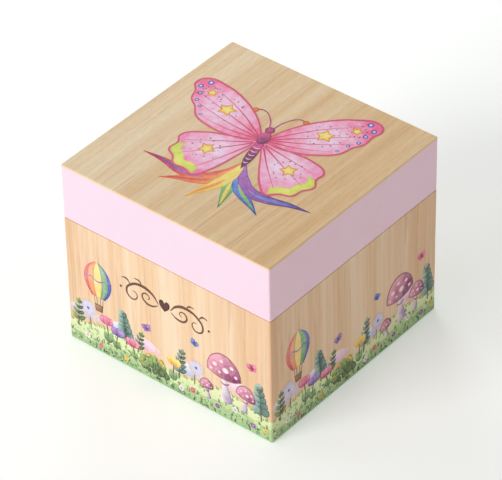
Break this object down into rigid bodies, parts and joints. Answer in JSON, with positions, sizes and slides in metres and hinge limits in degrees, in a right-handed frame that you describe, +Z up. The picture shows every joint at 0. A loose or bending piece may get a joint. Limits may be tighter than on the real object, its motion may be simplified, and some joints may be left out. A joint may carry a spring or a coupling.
{
  "type": "baby tooth keepsake box",
  "caption": "Small square wooden keepsake box with a deep lift-off painted lid, a raised inner neck that locates it, and wood-veneered walls.",
  "frame": {"origin": "middle of the underside, on the surface that the box stands on", "axes": "+Z up, -Y out of the printed front face, +X towards the right-hand side seen from the front"},
  "size_m": [0.06, 0.06, 0.05],
  "materials": {
    "printed_veneer": "pale straight-grained wood veneer with a printed picture under a matt seal",
    "pink_paint": "fibreboard sprayed with satin pale pink paint",
    "fibreboard": "bare medium-density fibreboard",
    "felt": "soft pink craft felt"
  },
  "bodies": {
    "tray": {"tray_bottom_panel": "fibreboard", "tray_floor_felt": "felt", "tray_front_wall": "fibreboard", "tray_right_wall": "fibreboard", "tray_back_wall": "fibreboard", "tray_left_wall": "fibreboard", "tray_front_veneer": "printed_veneer", "tray_right_veneer": "printed_veneer", "tray_back_veneer": "printed_veneer", "tray_left_veneer": "printed_veneer", "neck_front_strip": "pink_paint", "neck_right_strip": "pink_paint", "neck_back_strip": "pink_paint", "neck_left_strip": "pink_paint"},
    "lid": {"lid_board": "pink_paint", "lid_top_veneer": "printed_veneer", "lid_front_rail": "pink_paint", "lid_right_rail": "pink_paint", "lid_back_rail": "pink_paint", "lid_left_rail": "pink_paint"}
  },
  "joints": [
    {"name": "lid_lift", "type": "slide", "parent": "tray", "child": "lid", "axis": [0, 0, 1], "range_m": [0, 0.035]}
  ]
}
